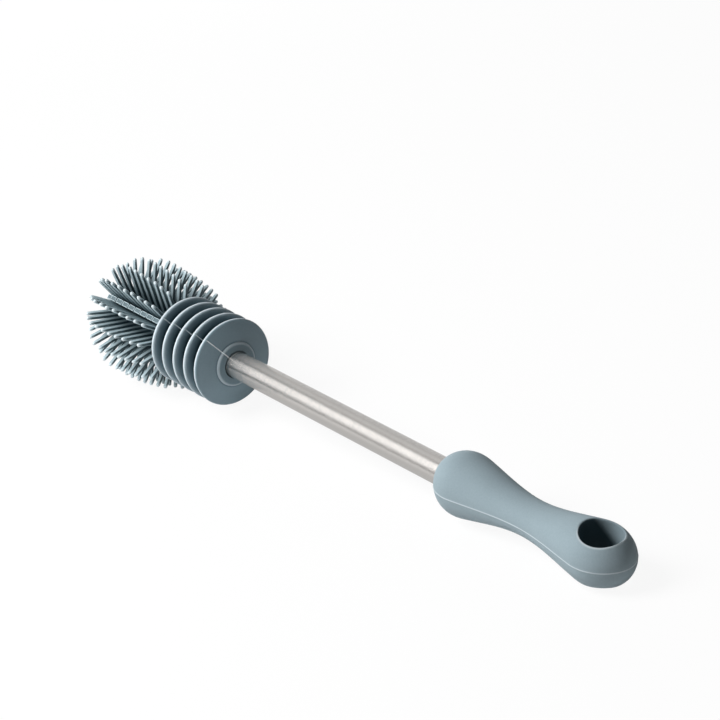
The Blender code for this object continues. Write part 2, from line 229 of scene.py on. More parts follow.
# %% The disc sleeve's profile
DISC_COUNT = 5
DISC_PITCH = 8.35 * MM
DISC_RADIUS = 20.1 * MM
DISC_RIM_THICKNESS = 2.2 * MM
DISC_ROOT_THICKNESS = 4.2 * MM
HUB_RADIUS = 9.2 * MM
HUB_CHAMFER = 0.2 * MM
ROOT_FILLET = 1.3 * MM
FACE_DOME = 2.0 * MM
FACE_DOME_POWER = 1.5
BOSS_RADIUS = 10.2 * MM
BOSS_HEIGHT = 1.0 * MM
BOSS_CORNER = 0.95 * MM
BOSS_RISE = 0.1 * MM
MOUTH_RADIUS = 6.35 * MM
MOUTH_CORNER = 0.3 * MM
MOUTH_DEPTH = 1.0 * MM
FIT_GAP = 0.3 * MM
BORE_RADIUS = TUBE_RADIUS + FIT_GAP
RIM_STEPS = 10
FLANK_STEPS = 3
FACE_STEPS = 8
RIM_HALF = DISC_RIM_THICKNESS / 2
RIM_MIDDLE = DISC_RADIUS - RIM_HALF
FRONT_DISC_X = -DISC_PITCH * (DISC_COUNT - 1)


def disc_side(x, side):
    """One flank of the disc at x, from the hub outwards. The side is 1 to the rear, -1 to the front."""
    root = Vector((x + side * DISC_ROOT_THICKNESS / 2, HUB_RADIUS))
    rim = Vector((x + side * RIM_HALF, RIM_MIDDLE))
    fillet_top = root.lerp(rim, ROOT_FILLET / (RIM_MIDDLE - HUB_RADIUS))
    fillet = round_corner((root.x + side * ROOT_FILLET, HUB_RADIUS), root, fillet_top)
    return fillet + [fillet_top.lerp(rim, share) for share in spread(0.0, 1.0, FLANK_STEPS)[1:-1]]


def disc_rim(x):
    """The rounded rim of the disc at x, from its rear side to its front side."""
    turns = spread(0.0, math.pi, RIM_STEPS)
    return [(x + RIM_HALF * math.cos(turn), RIM_MIDDLE + RIM_HALF * math.sin(turn)) for turn in turns]


def rear_face():
    """From the tube over the boss and out along the domed face."""
    face_x = RIM_HALF + FACE_DOME
    top_x = face_x + BOSS_HEIGHT
    mouth_x = top_x + BOSS_RISE
    points = round_corner(
        (mouth_x - MOUTH_CORNER, MOUTH_RADIUS),
        (mouth_x, MOUTH_RADIUS),
        (mouth_x, MOUTH_RADIUS + MOUTH_CORNER),
    )
    points += round_corner((top_x, BOSS_RADIUS - BOSS_CORNER), (top_x, BOSS_RADIUS), (face_x, BOSS_RADIUS))
    for share in spread(0.0, 1.0, FACE_STEPS)[1:-1]:
        x = RIM_HALF + FACE_DOME * (1 - share**FACE_DOME_POWER)
        points.append((x, BOSS_RADIUS + (RIM_MIDDLE - BOSS_RADIUS) * share))
    return points


# %% [markdown]
# The bristle sleeve's sizes are needed here too, because the two mouldings meet end to end.

# %% Where the two mouldings meet
BRISTLE_ROWS = 16
BRISTLE_RINGS = 10
RING_PITCH = 5.0 * MM
FIRST_RING_FROM_DISC = 4.3 * MM
SLEEVE_REAR_MARGIN = 2.4 * MM
FIRST_RING_X = FRONT_DISC_X - FIRST_RING_FROM_DISC
LAST_RING_X = FIRST_RING_X - RING_PITCH * (BRISTLE_RINGS - 1)
SLEEVE_REAR_X = FIRST_RING_X + SLEEVE_REAR_MARGIN
DISC_SLEEVE_FRONT_X = SLEEVE_REAR_X + FIT_GAP


def disc_sleeve_profile():
    face = rear_face()
    inner_x = face[0][0] - MOUTH_DEPTH
    points = face + disc_rim(0.0) + disc_side(0.0, -1)[::-1]
    for disc in range(1, DISC_COUNT):
        x = -DISC_PITCH * disc
        points += disc_side(x, 1) + disc_rim(x)
        if disc < DISC_COUNT - 1:
            points += disc_side(x, -1)[::-1]
    return points + [
        (DISC_SLEEVE_FRONT_X + HUB_CHAMFER, HUB_RADIUS),
        (DISC_SLEEVE_FRONT_X, HUB_RADIUS - HUB_CHAMFER),
        (DISC_SLEEVE_FRONT_X, BORE_RADIUS),
        (inner_x, BORE_RADIUS),
        (inner_x, MOUTH_RADIUS),
        face[0],
    ]


# %% [markdown]
# The parting line is cut in with two planes beside the seam, and the points that lie between
# them are then pushed out. The sleeve is turned from the seam's angle, so a column of points
# already runs down its middle.

# %% Raise a parting line on a turned piece
SEAM_HALF_WIDTH = 0.22 * MM
SEAM_HEIGHT = 0.15 * MM
DISC_SEAM_ANGLE = math.radians(52.0)
DISC_SIDES = 144


def seam_normal(angle):
    """Square to the plane that holds the axis and the parting line at this angle."""
    return Vector((1.0, 0.0, 0.0)).cross(outward(angle))


def raise_seam(bm, angle, inner_radius):
    normal = seam_normal(angle)
    for side in (-1, 1):
        cut(bm, normal * SEAM_HALF_WIDTH * side, normal)
    bm.normal_update()
    ridge = [
        point for point in bm.verts
        if abs(point.co.dot(normal)) < MERGE and radius_of(point.co) > inner_radius
    ]
    moves = [(point, point.normal * SEAM_HEIGHT) for point in ridge]
    for point, move in moves:
        point.co += move
    return len(ridge)


bm = bmesh.new()
turn(bm, disc_sleeve_profile(), DISC_SIDES, DISC_SEAM_ANGLE)
clean(bm)
ridge_points = raise_seam(bm, DISC_SEAM_ANGLE, MOUTH_RADIUS + MERGE)
print("points on the discs' parting line:", ridge_points)
discs = finish_piece("wiping_discs", new_mesh(bm, "wiping_discs"), "head_silicone", "disc_sleeve")

# %% [markdown]
# ## The bristle sleeve
#
# The sleeve carries 16 straight rows of round fingers, moulded in one with it. Each finger could
# be a cone that is stuck in, but then its root would have a hard edge. Here the sleeve is turned
# with two columns and two rows of faces for each finger. Each group of four faces becomes one
# face of eight corners, which is inset to a circle and pulled out in steps, so a finger grows
# from a small fillet and stays part of one skin.

# %% The sleeve's blank
SLEEVE_RADIUS = 8.5 * MM
NOSE_LENGTH = 8.5 * MM
NOSE_BORE_MARGIN = 2.0 * MM
NOSE_START_X = LAST_RING_X + RING_PITCH / 2
NOSE_X = NOSE_START_X - NOSE_LENGTH
BORE_END_X = NOSE_START_X + NOSE_BORE_MARGIN
NOSE_STEPS = 7
PEG_ANGLE = math.radians(45)
ROW_STEP = 2 * math.pi / BRISTLE_ROWS
OFF_GRID = 0.01


def sleeve_radius(x):
    """The sleeve's outer radius at x, which falls to nothing over the nose."""
    depth = min(max((NOSE_START_X - x) / NOSE_LENGTH, 0.0), 1.0)
    return SLEEVE_RADIUS * math.sqrt(1.0 - depth**2)


def sleeve_profile():
    rows = [SLEEVE_REAR_X] + [FIRST_RING_X - RING_PITCH / 2 * row for row in range(2 * BRISTLE_RINGS)]
    first_turn = math.asin((NOSE_START_X - rows[-1]) / NOSE_LENGTH)
    for nose_turn in spread(first_turn, math.pi / 2, NOSE_STEPS)[1:]:
        rows.append(NOSE_START_X - NOSE_LENGTH * math.sin(nose_turn))
    bore = [(BORE_END_X, 0.0), (BORE_END_X, BORE_RADIUS), (SLEEVE_REAR_X, BORE_RADIUS)]
    return bore + [(x, sleeve_radius(x)) for x in rows]


def sleeve_blank():
    bm = bmesh.new()
    turn(bm, sleeve_profile(), 2 * BRISTLE_ROWS, PEG_ANGLE)
    middles = []
    for point in bm.verts:
        ring = (FIRST_RING_X - point.co.x) / RING_PITCH
        row = (math.atan2(point.co.z, -point.co.y) - PEG_ANGLE) / ROW_STEP - 0.5
        on_ring = abs(ring - round(ring)) < OFF_GRID and round(ring) in range(BRISTLE_RINGS)
        on_row = abs(row - round(row)) < OFF_GRID
        if on_ring and on_row and radius_of(point.co) > BORE_RADIUS + FIT_GAP:
            middles.append(point)
    bmesh.ops.dissolve_verts(bm, verts=middles)
    return bm


# %% [markdown]
# The tips follow the shape of the whole head: widest behind the nose and slimmer at both ends.
# Soft fingers never stand quite straight, so each gets a small bend of its own. The random
# numbers come from one seed, so the brush is the same each time.

# %% Grow the fingers
TIP_RADIUS = 28.6 * MM
WIDEST_RING = 6
DISC_END_DROP = 3.4 * MM
NOSE_END_DROP = 6.8 * MM
NOSE_LEAN = 3.2 * MM
FINGER_ROOT_RADIUS = 1.2 * MM
FINGER_TIP_RADIUS = 0.95 * MM
FINGER_FILLET_RADIUS = 1.5 * MM
FINGER_FILLET_HEIGHT = 0.5 * MM
FINGER_BEND = 0.2 * MM
FINGER_SEED = 7
# How far up its shaft each ring of points stands, with how much of the taper it has, and how far
# in from the tip and how wide, as shares of the tip's radius, the rings of the rounded end are
SHAFT_SHARES = ((0.35, 0.15), (0.7, 0.45))
END_SHARES = ((0.95, 1.0), (0.42, 0.84), (0.08, 0.42))


def tip_reach(ring):
    """How far out the tips of this ring stand, and how far forward they lean."""
    if ring <= WIDEST_RING:
        share = (WIDEST_RING - ring) / WIDEST_RING
        return TIP_RADIUS - DISC_END_DROP * share**2, 0.0
    share = (ring - WIDEST_RING) / (BRISTLE_RINGS - 1 - WIDEST_RING)
    return TIP_RADIUS - NOSE_END_DROP * share**2, NOSE_LEAN * share


def strand_frame(ring, angle, embed=0.0, shorter=0.0):
    """A strand's root and tip, the direction up it, and the two directions across it."""
    x = FIRST_RING_X - RING_PITCH * ring
    reach, lean = tip_reach(ring)
    way = outward(angle)
    root = off_axis(x, way, sleeve_radius(x) - embed)
    tip = off_axis(x - lean, way, reach - shorter)
    up = (tip - root).normalized()
    side = (Vector((1.0, 0.0, 0.0)) - up * up.x).normalized()
    return root, tip, up, side, up.cross(side)


class Finger:
    """A finger's root, tip and bend, and the places of the rings of points along it."""

    def __init__(self, ring, row, draw):
        angle = PEG_ANGLE + ROW_STEP * (row + 0.5)
        self.root, self.tip, self.up, self.side, self.other = strand_frame(ring, angle)
        self.length = (self.tip - self.root).length
        self.bend = self.side * draw.uniform(-FINGER_BEND, FINGER_BEND)
        self.bend += self.other * draw.uniform(-FINGER_BEND, FINGER_BEND)

    def place_ring(self, face, height, radius):
        """Puts a face's corners on a circle round the bent finger, each at the angle it has."""
        middle = self.root + self.up * height + self.bend * (height / self.length) ** 2
        old_middle = face.calc_center_median()
        for point in face.verts:
            offset = point.co - old_middle
            angle = math.atan2(offset.dot(self.other), offset.dot(self.side))
            point.co = middle + (self.side * math.cos(angle) + self.other * math.sin(angle)) * radius

    def place_root(self, face):
        """Puts the first ring down on the sleeve's round surface."""
        self.place_ring(face, 0.0, FINGER_FILLET_RADIUS)
        for point in face.verts:
            point.co = ring_place(point.co, point.co.x, sleeve_radius(point.co.x))

    def rings(self):
        """The height and radius of each ring of points above the root."""
        yield FINGER_FILLET_HEIGHT, FINGER_ROOT_RADIUS
        for share, taper in SHAFT_SHARES:
            thinner = (FINGER_ROOT_RADIUS - FINGER_TIP_RADIUS) * taper
            yield self.length * share, FINGER_ROOT_RADIUS - thinner
        for depth_share, radius_share in END_SHARES:
            yield self.length - FINGER_TIP_RADIUS * depth_share, FINGER_TIP_RADIUS * radius_share


draw = random.Random(FINGER_SEED)
fingers = [Finger(ring, row, draw) for ring in range(BRISTLE_RINGS) for row in range(BRISTLE_ROWS)]


def grow_fingers(bm):
    number = bm.faces.layers.int.new("finger")
    faces = [face for face in bm.faces if len(face.verts) == 8]
    for face in faces:
        place = face.calc_center_median()
        face[number] = min(range(len(fingers)), key=lambda i: (fingers[i].root - place).length)
    bmesh.ops.inset_individual(bm, faces=faces, thickness=FINGER_FILLET_HEIGHT)
    for face in faces:
        fingers[face[number]].place_root(face)
    for level in range(1 + len(SHAFT_SHARES) + len(END_SHARES)):
        faces = bmesh.ops.extrude_discrete_faces(bm, faces=faces)["faces"]
        for face in faces:
            finger = fingers[face[number]]
            finger.place_ring(face, *list(finger.rings())[level])
    return len(faces)


# %% [markdown]
# On the line where the mould's halves meet there is no room for a full finger, so short square
# pegs stand there. Their ends are slightly dished. They stand so close to the fingers that their
# roots run into them, so they are made apart and joined to the sleeve by a Boolean.

# %% The pegs on the parting line
PEG_WIDTH = 2.2 * MM
PEG_LENGTH = 4.3 * MM
PEG_RADIUS = 19.0 * MM
PEG_EMBED = 1.2 * MM
PEG_EDGE = 0.4 * MM
PEG_RIM = 0.4 * MM
PEG_DISH = 0.25 * MM
PEG_TAPER_SHARE = 0.02


def peg_frame(ring, angle):
    """Pegs end level with each other, apart from those on the nose, which shorten with it."""
    shorter = (TIP_RADIUS if ring > WIDEST_RING else tip_reach(ring)[0]) - PEG_RADIUS
    return strand_frame(ring, angle, PEG_EMBED, shorter)


PEG_FRAMES = [
    peg_frame(ring, PEG_ANGLE + math.pi * side) for ring in range(BRISTLE_RINGS) for side in range(2)
]


def add_peg(bm, root, tip, up, side, other):
    place = stand((root + tip) / 2, side, other, up)
    size = Matrix.Diagonal((PEG_LENGTH, PEG_WIDTH, (tip - root).length, 1.0))
    points = bmesh.ops.create_cube(bm, size=1.0, matrix=place @ size)["verts"]
    for point in points:
        if (point.co - tip).length < (point.co - root).length:
            point.co = point.co.lerp(tip, PEG_TAPER_SHARE)
    faces = {face for point in points for face in point.link_faces}
    top = max(faces, key=lambda face: face.normal.dot(up))
    bmesh.ops.inset_individual(bm, faces=[top], thickness=PEG_RIM)
    for point in top.verts:
        point.co -= up * PEG_DISH
    edges = {edge for point in points for edge in point.link_edges}
    edges |= set(top.edges)
    bmesh.ops.bevel(
        bm, geom=list(edges), offset=PEG_EDGE / 2, segments=2, profile=0.5,
        affect="EDGES", material=-1, clamp_overlap=True,
    )


def join_pegs(blank):
    """Joins the pegs to the sleeve and gives the joined mesh back."""
    bm = bmesh.new()
    for peg in PEG_FRAMES:
        add_peg(bm, *peg)
    pegs = add_object("pegs", new_mesh(bm, "pegs"))
    boolean = blank.modifiers.new("Pegs", "BOOLEAN")
    boolean.operation = "UNION"
    boolean.solver = "EXACT"
    boolean.object = pegs
    graph = bpy.context.evaluated_depsgraph_get()
    joined = bpy.data.meshes.new_from_object(blank.evaluated_get(graph))
    for used in (pegs, blank):
        bpy.data.objects.remove(used, do_unlink=True)
    return joined


# %% [markdown]
# The tips get a painted highlight, and painted shade lies where little light gets down between the
# fingers. So the mesh keeps an attribute for the finish: the distance from the nearest finger's tip. The
# rims of the pegs' ends get the painted highlight too and count as near a tip. A second attribute marks
# the dished floors, which get painted shade.

# %% Keep what the finish needs to know
TIP_ATTRIBUTE = "from_tip"
DISH_ATTRIBUTE = "peg_dish"
# The pegs' rims count this near a tip, so they get its painted highlight; the dished floors this far, so
# they get painted shade
RIM_FROM_TIP = 1.35 * MM
DISH_FROM_TIP = 4.0 * MM


def peg_end_place(point):
    """Whether a point is on the dished floor of a peg's end, on the rim round it, or elsewhere."""
    for root, tip, up, side, other in PEG_FRAMES:
        offset = point - tip
        height = offset.dot(up)
        from_edge = min(PEG_LENGTH / 2 - abs(offset.dot(side)), PEG_WIDTH / 2 - abs(offset.dot(other)))
        if from_edge > -PEG_EDGE and abs(height) < 2 * PEG_DISH:
            dished = from_edge > PEG_RIM / 2 and height < -PEG_DISH / 3
            return "dish" if dished else "rim"
    return "elsewhere"


def mark_height(mesh):
    """Writes both attributes and counts the points on the dished floors."""
    tips = KDTree(len(fingers))
    for number, finger in enumerate(fingers):
        tips.insert(finger.tip + finger.bend, number)
    tips.balance()
    heights = []
    dishes = []
    for vertex in mesh.vertices:
        place = peg_end_place(vertex.co)
        height = tips.find(vertex.co)[2]
        heights.append({"rim": RIM_FROM_TIP, "dish": DISH_FROM_TIP}.get(place, height))
        dishes.append(float(place == "dish"))
    for name, values in ((TIP_ATTRIBUTE, heights), (DISH_ATTRIBUTE, dishes)):
        mesh.attributes.new(name, "FLOAT", "POINT").data.foreach_set("value", values)
    return round(sum(dishes))


bm = sleeve_blank()
finger_count = grow_fingers(bm)
blank = add_object("sleeve_blank", new_mesh(bm, "sleeve_blank"))
bristle_mesh = join_pegs(blank)
print("points on the pegs' dished ends:", mark_height(bristle_mesh))
slices = [name for name in sorted(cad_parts) if name.startswith("bristle_slice")]
bristles = finish_piece("bristle_sleeve", bristle_mesh, "head_silicone", *slices)
print(f"{finger_count} fingers, standing for {len(slices)} packed slices")

# %% [markdown]
# ## The grip
#
# The grip is a soft, waisted handle. Its section is an oval that grows and shrinks along the axis,
# and both ends are rounded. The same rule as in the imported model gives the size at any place, so
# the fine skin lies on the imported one. Only the upper half is modelled, as a grid that is wrapped
# round the oval, and a mirror makes the rest.

# %% The grip's sizes along the axis
GRIP_START = 146.2 * MM
GRIP_LENGTH = 105.1 * MM
FRONT_HALVES = (14.7 * MM, 15.2 * MM)
WAIST_HALVES = (8.4 * MM, 7.4 * MM)
END_HALVES = (14.5 * MM, 14.0 * MM)
WAIST_X = GRIP_START + 52.5 * MM
GRIP_TIP_X = GRIP_START + GRIP_LENGTH
END_X = GRIP_TIP_X - 3.0 * MM
FRONT_ROUNDING = 17.5 * MM
TIP_ROUNDING = 19.1 * MM
ROUNDING_POWER = 1.92
HOLE_RADIUS = 8.5 * MM
HOLE_X = GRIP_TIP_X - 13.8 * MM


def ease(share):
    share = min(max(share, 0.0), 1.0)
    return share * share * (3.0 - 2.0 * share)


def between(x, front, waist, end):
    """A size that eases from the grip's front through its waist to its end."""
    if x < WAIST_X:
        return front + (waist - front) * ease((x - GRIP_START) / (WAIST_X - GRIP_START))
    return waist + (end - waist) * ease((x - WAIST_X) / (END_X - WAIST_X))


def rounding(depth, length):
    """The share of the full size that is left this deep inside a rounded end."""
    fall = 1.0 - min(max(depth / length, 0.0), 1.0)
    return (1.0 - fall**ROUNDING_POWER) ** (1.0 / ROUNDING_POWER)


def grip_halves(x):
    """The grip's half width and half height at x."""
    ends = rounding(x - GRIP_START, FRONT_ROUNDING) * rounding(GRIP_TIP_X - x, TIP_ROUNDING)
    return [between(x, *sizes) * ends for sizes in zip(FRONT_HALVES, WAIST_HALVES, END_HALVES)]


def grip_top(x, y):
    """The height of the grip's upper surface over a place in the seam's plane."""
    half_width, half_height = grip_halves(x)
    if half_width <= abs(y):
        return 0.0
    return half_height * math.sqrt(1.0 - (y / half_width) ** 2)


def on_skin(place):
    return Vector((place.x, place.y, grip_top(place.x, place.y)))


# %% [markdown]
# The hanging hole needs a clean circle in the grid. Cutting it with a Boolean would leave a ragged
# edge that can't be rounded well. So a square block of faces round the hole is opened up: its
# rings of points run from a circle in the middle to the grid's own lines at the block's edge.

# %% Wrap the grid round the grip
HALF_COLUMNS = 32
FRONT_STEPS = 12
MIDDLE_STEPS = 30
BLOCK = 24
OPEN_RINGS = 6
TIP_STEPS = 5
BLOCK_START_X = 223.6 * MM
BLOCK_END_X = 249.4 * MM
LIP = 1.2 * MM
GRIP_MOUTH_RADIUS = TUBE_RADIUS + 0.05 * MM
GRIP_MOUTH_LIP = 0.7 * MM


def end_depth(radius_share, length):
    """How deep inside a rounded end its size has grown to this share."""
    return length * (1.0 - (1.0 - radius_share**ROUNDING_POWER) ** (1.0 / ROUNDING_POWER))


def end_stations(length, first, last, steps):
    """Depths inside a rounded end, close together where it is steep."""
    first_turn, last_turn = [math.acos(1.0 - depth / length) for depth in (first, last)]
    return [length * (1.0 - math.cos(turn)) for turn in spread(first_turn, last_turn, steps)]


def grip_stations():
    mouth_share = (GRIP_MOUTH_RADIUS + GRIP_MOUTH_LIP) / (sum(FRONT_HALVES) / 2)
    mouth_depth = end_depth(mouth_share, FRONT_ROUNDING)
    front = end_stations(FRONT_ROUNDING, mouth_depth, FRONT_ROUNDING, FRONT_STEPS)[:-1]
    middle = spread(GRIP_START + FRONT_ROUNDING, BLOCK_START_X, MIDDLE_STEPS)[:-1]
    block = spread(BLOCK_START_X, BLOCK_END_X, BLOCK)[:-1]
    tip = end_stations(TIP_ROUNDING, GRIP_TIP_X - BLOCK_END_X, 0.0, TIP_STEPS)
    return [GRIP_START + depth for depth in front] + middle + block + [GRIP_TIP_X - depth for depth in tip]


def square_angle(across_steps, down_steps, ring):
    """The angle of a point on a square ring, when its points are spread evenly on a circle."""
    quarter = math.pi / 4
    if across_steps == ring:
        return quarter * down_steps / ring
    if down_steps == ring:
        return 2 * quarter - quarter * across_steps / ring
    if across_steps == -ring:
        return 4 * quarter - quarter * down_steps / ring
    return -2 * quarter + quarter * across_steps / ring


def from_middle(i, j):
    """How many grid steps the point (i, j) is from the hole's middle, along and across."""
    return i - (FRONT_STEPS + MIDDLE_STEPS + BLOCK // 2), j - HALF_COLUMNS // 2


def grip_place(i, j, stations):
    """Where the grid's point (i, j) lies on the grip's upper half."""
    x = stations[i]
    half_width, half_height = grip_halves(x)
    angle = math.pi * j / HALF_COLUMNS
    place = Vector((x, half_width * math.cos(angle), half_height * math.sin(angle)))
    across_steps, down_steps = from_middle(i, j)
    ring = max(abs(across_steps), abs(down_steps))
    if 0 < ring < BLOCK // 2:
        angle = square_angle(across_steps, down_steps, ring)
        way = Vector((math.cos(angle), -math.sin(angle), 0.0))
        circle = off_axis(HOLE_X, way, HOLE_RADIUS + LIP)
        share = max(ring - OPEN_RINGS, 0) / (BLOCK // 2 - OPEN_RINGS)
        place = on_skin(circle.lerp(place, share))
    return place


def grip_half():
    stations = grip_stations()
    bm = bmesh.new()
    columns = len(stations) - 1
    bmesh.ops.create_grid(bm, x_segments=columns, y_segments=HALF_COLUMNS, size=0.5)
    opened = []
    for point in bm.verts:
        i = round((point.co.x + 0.5) * columns)
        j = round((point.co.y + 0.5) * HALF_COLUMNS)
        point.co = grip_place(i, j, stations)
        if max(abs(steps) for steps in from_middle(i, j)) < OPEN_RINGS:
            opened.append(point)
    bmesh.ops.delete(bm, geom=opened, context="VERTS")
    clean(bm)
    return bm


# %% [markdown]
# The parting line lies in the mirror's plane. One cut beside that plane and a small push of the
# outermost points make half of the ridge, and the mirror makes the other half. The hole's lip is
# pulled in from the open circle along a curve that leaves the skin smoothly and ends on the wall.

# %% The grip's parting line and hole
LIP_STEPS = 6
WALL_STEPS = 4
GRIP_SEAM_HEIGHT = 0.09 * MM


def raise_half_seam(bm):
    cut(bm, (0.0, 0.0, SEAM_HALF_WIDTH), (0.0, 0.0, 1.0))
    bm.normal_update()
    moves = [
        (point, Vector((point.normal.x, point.normal.y, 0.0)).normalized() * GRIP_SEAM_HEIGHT)
        for point in bm.verts if point.co.z < MERGE
    ]
    for point, move in moves:
        point.co += move


def lip_curve(place):
    """From the skin round the hole's edge to its wall, on this place's side of the hole."""
    way = Vector((place.x - HOLE_X, place.y, 0.0)).normalized()
    skin = on_skin(off_axis(HOLE_X, way, HOLE_RADIUS + LIP))
    inner = on_skin(off_axis(HOLE_X, way, HOLE_RADIUS))
    return round_corner(skin, inner, inner - Vector((0.0, 0.0, LIP)), LIP_STEPS)


def pull_hole(bm):
    rim = [
        edge for edge in bm.edges
        if edge.is_boundary and all(
            abs(math.hypot(point.co.x - HOLE_X, point.co.y) - HOLE_RADIUS - LIP) < LIP / 4
            and point.co.z > LIP for point in edge.verts
        )
    ]
    for step in range(1, LIP_STEPS + 1):
        rim = pull(bm, rim, lambda place: lip_curve(place)[step])
    for share in spread(1.0, 0.0, WALL_STEPS)[1:]:
        rim = pull(bm, rim, lambda place: Vector((place.x, place.y, lip_curve(place)[-1].z * share)))
    return len(rim)


# %% [markdown]
# The tube goes in through a snug mouth, and the handle's stiff core fills the grip. The skin is
# closed round that room, so its mesh is one clean solid: the open edge at the mouth is pulled in
# along the core's outline until it ends in a point.

# %% The mouth and the room for the core
SOCKET_X = GRIP_START + 7.5 * MM
SOCKET_RADIUS = 8.6 * MM
BAR_WAIST_RADIUS = 4.7 * MM
BAR_END_RADIUS = 8.0 * MM
BAR_END_CHAMFER = 2.5 * MM
BAR_END_X = HOLE_X - HOLE_RADIUS - 3.0 * MM
ROOM_STEPS = 12


def room_profile():
    """(x, radius) points round the core, from the mouth to the end of its bar."""
    points = [(SOCKET_X - FIT_GAP, GRIP_MOUTH_RADIUS), (SOCKET_X - FIT_GAP, SOCKET_RADIUS + FIT_GAP)]
    for x in spread(SOCKET_X, BAR_END_X - BAR_END_CHAMFER, ROOM_STEPS)[1:]:
        radius = between(x, SOCKET_RADIUS, BAR_WAIST_RADIUS, BAR_END_RADIUS)
        if x < TUBE_REAR_X + BAR_WAIST_RADIUS:
            radius = max(radius, SOCKET_RADIUS)
        points.append((x, radius + FIT_GAP))
    points.append((BAR_END_X + FIT_GAP, BAR_END_RADIUS - BAR_END_CHAMFER + FIT_GAP))
    points.append((BAR_END_X + FIT_GAP, 0.0))
    return points


def pull_mouth(bm):
    edge_loop = [edge for edge in bm.edges if edge.is_boundary]
    mouth_x = grip_stations()[0]
    curve = round_corner(
        (mouth_x, GRIP_MOUTH_RADIUS + GRIP_MOUTH_LIP),
        (mouth_x - GRIP_MOUTH_LIP / 2, GRIP_MOUTH_RADIUS),
        (mouth_x + GRIP_MOUTH_LIP, GRIP_MOUTH_RADIUS),
    )
    for x, radius in curve[1:] + room_profile():
        edge_loop = pull(bm, edge_loop, lambda place: ring_place(place, x, radius))
    return len(edge_loop)


bm = grip_half()
raise_half_seam(bm)
hole_edges = pull_hole(bm)
bmesh.ops.mirror(bm, geom=bm.verts[:] + bm.edges[:] + bm.faces[:], axis="Z", merge_dist=MERGE)
bmesh.ops.remove_doubles(bm, verts=bm.verts, dist=MERGE)
mouth_edges = pull_mouth(bm)
open_edges = sum(edge.is_boundary for edge in bm.edges)
print(f"hole rim {hole_edges} edges, mouth {mouth_edges} edges, still open {open_edges}")
grip = finish_piece("soft_grip", new_mesh(bm, "soft_grip"), "grip_silicone", "grip")

# %% [markdown]
# ## Finishes
#
# Each finish is a node tree. Its maths reads best as plain Python, so one small class wraps a
# socket: an expression on such values adds the Math nodes by itself. Every other node comes from
# one method that takes the node's type, what goes into its inputs, and its settings.

# %% Write shader maths as Python


class Wire:
    """A socket whose arithmetic adds Math nodes to its tree."""

    def __init__(self, finish, socket):
        self.finish = finish
        self.socket = socket

    def maths(self, operation, first, second):
        return self.finish.add("ShaderNodeMath", {0: first, 1: second}, operation=operation)

    def __add__(self, other):
        return self.maths("ADD", self, other)

    def __sub__(self, other):
        return self.maths("SUBTRACT", self, other)

    def __rsub__(self, other):
        return self.maths("SUBTRACT", other, self)

    def __mul__(self, other):
        return self.maths("MULTIPLY", self, other)

    __radd__ = __add__
    __rmul__ = __mul__

    def size(self):
        return self.maths("ABSOLUTE", self, 0.0)

    def root(self):
        return self.maths("SQRT", self, 0.0)


class Finish:
    """A node tree, and the one method that adds nodes to it."""

    def __init__(self, tree):
        self.tree = tree

    def fill(self, inputs, values):
        """Writes or links each value to the input of that name or number."""
        for name, value in values.items():
            if isinstance(value, Wire):
                self.tree.links.new(value.socket, inputs[name])
            else:
                inputs[name].default_value = value

    def add(self, kind, values=None, output=0, **settings):
        node = self.tree.nodes.new(kind)
        for name, setting in settings.items():
            setattr(node, name, setting)
        self.fill(node.inputs, values or {})
        return Wire(self, node.outputs[output])

    def fade(self, value, low, high, to_low=0.0, to_high=1.0):
        """A smooth step from one number to another as the value goes from low to high."""
        limits = {"From Min": low, "From Max": high, "To Min": to_low, "To Max": to_high}
        return self.add("ShaderNodeMapRange", {"Value": value, **limits}, interpolation_type="SMOOTHSTEP")

    def levels(self, value, stops):
        """A level that goes smoothly from each (value, level) stop to the next."""
        level = stops[0][1]
        for (low, before), (high, after) in zip(stops, stops[1:]):
            level = self.fade(value, low, high, 0.0, after - before) + level
        return level

    def blend(self, share, under, over):
        """One colour laid over another by a share."""
        return self.add("ShaderNodeMix", {0: share, 6: under, 7: over}, output=2, data_type="RGBA")

    def noise(self, place, scale, detail=2.0, stretch=(1.0, 1.0, 1.0)):
        place = self.add("ShaderNodeMapping", {"Vector": place, "Scale": stretch})
        return self.add("ShaderNodeTexNoise", {"Vector": place, "Scale": scale, "Detail": detail})

    def bump(self, height, strength, distance):
        return self.add("ShaderNodeBump", {"Height": height, "Strength": strength, "Distance": distance})

    def on_brush(self, vector, start=(0.0, 0.0, 0.0)):
        """A direction or a place, turned so that X runs along the brush's axis."""
        turned = {"Vector": vector, "Location": start, "Rotation": BRUSH.to_euler()}
        return self.add("ShaderNodeMapping", turned, vector_type="TEXTURE")

    def brush_place(self):
        return self.on_brush(self.add("ShaderNodeTexCoord", output="Object"), BRUSH.translation)

    def parts(self, place):
        """The x, y and z of a vector."""
        made = self.add("ShaderNodeSeparateXYZ", {"Vector": place})
        return [Wire(self, output) for output in made.socket.node.outputs]

    def ray_kinds(self):
        """Whether the camera sees this place itself, and whether a reflection does."""
        kinds = ("Is Camera Ray", "Is Glossy Ray")
        return [self.add("ShaderNodeLightPath", output=kind) for kind in kinds]


def new_finish(name):
    material = bpy.data.materials.new(name)
    material.use_nodes = True
    return material, Finish(material.node_tree), material.node_tree.nodes["Principled BSDF"].inputs


def wear(piece, material):
    piece.data.materials.clear()
    piece.data.materials.append(material)


# %% [markdown]
# ## Silicone
#
# Moulded silicone is dense and matt. It has a fine grain from the mould, and its tone drifts slowly
# between two near colours. Over that the colour paints light: pale painted highlights on tips, rims and
# edges, pale parting lines that are partly trimmed flash and partly painted highlight, and a deep painted
# shade where little light gets in. So one function makes each silicone from a tone, a list of masks for
# the painted shade and a list for the seams and painted highlights.

# %% Silicone
SILICONE_DEEP = (0.27, 0.345, 0.378)
SILICONE_PALE = (0.32, 0.405, 0.440)
# A pale colour for the seams and painted highlights, and a deep one for painted shade
SILICONE_SEAM_AND_HIGHLIGHT = (0.86, 0.93, 0.96, 1.0)
SILICONE_PAINTED_SHADE = (0.012, 0.034, 0.045, 1.0)
